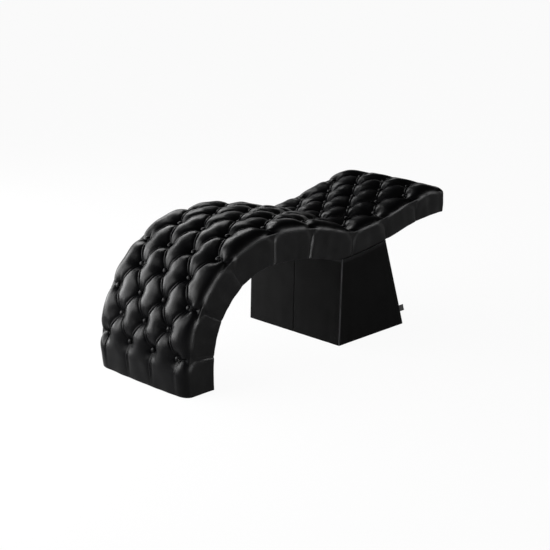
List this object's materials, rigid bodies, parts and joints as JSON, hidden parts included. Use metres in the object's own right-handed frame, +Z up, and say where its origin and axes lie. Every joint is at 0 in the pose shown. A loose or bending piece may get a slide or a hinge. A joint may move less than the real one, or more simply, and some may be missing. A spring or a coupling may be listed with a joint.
{
  "type": "eyelash extension bed",
  "caption": "Fixed treatment couch for lash work: arched diamond-tufted body that stands on its own foot and on an upholstered box base.",
  "frame": {"origin": "on the floor, under the middle of the whole bed", "axes": "+X along the bed from the foot to the head, +Y across it to the far side of the picture, +Z up"},
  "size_m": [1.8089, 0.628, 0.6998],
  "materials": {
    "tuft_leather": "satin black faux leather",
    "base_leather": "smooth satin black leatherette",
    "foam": "open cell upholstery foam",
    "twine": "waxed tufting twine",
    "glide_plastic": "moulded black",
    "under_cloth": "woven black dust cloth",
    "label_cloth": "woven, blank",
    "plywood": "raw birch plywood",
    "softwood": "planed softwood",
    "zinc_steel": "zinc plated"
  },
  "bodies": {
    "root": {"base_corner_post_1": "softwood", "base_corner_post_2": "softwood", "base_corner_post_3": "softwood", "base_corner_post_4": "softwood", "base_floor_rail_front": "softwood", "base_floor_rail_head": "softwood", "base_front_cover_far": "base_leather", "base_front_cover_near": "base_leather", "base_front_panel": "plywood", "base_glides": "glide_plastic", "base_head_cover": "base_leather", "base_head_panel": "plywood", "base_screws": "zinc_steel", "base_side_cover_far": "base_leather", "base_side_cover_near": "base_leather", "base_side_far": "plywood", "base_side_near": "plywood", "bearer_front": "softwood", "bearer_head": "softwood", "cross_rail_1": "softwood", "cross_rail_2": "softwood", "cross_rail_3": "softwood", "cross_rail_4": "softwood", "cross_rail_5": "softwood", "cross_rail_6": "softwood", "cross_rail_7": "softwood", "cross_rail_8": "softwood", "deck_panel": "plywood", "flag_label": "label_cloth", "foam_pad": "foam", "foot_glides": "glide_plastic", "foot_sole_rail": "softwood", "glide_screws": "zinc_steel", "head_end_board": "plywood", "head_end_cover": "tuft_leather", "mount_bolts": "zinc_steel", "mount_washers": "zinc_steel", "rail_screws": "zinc_steel", "rib_far": "plywood", "rib_inner_far": "plywood", "rib_inner_near": "plywood", "rib_near": "plywood", "seat_rail_front": "softwood", "seat_rail_head": "softwood", "side_padding_far": "foam", "side_padding_near": "foam", "tee_nuts": "zinc_steel", "tuft_buttons": "tuft_leather", "tuft_twine": "twine", "tufted_cover": "tuft_leather", "twine_washers": "glide_plastic", "underside_cloth": "under_cloth", "underside_panel": "plywood"}
  },
  "joints": []
}
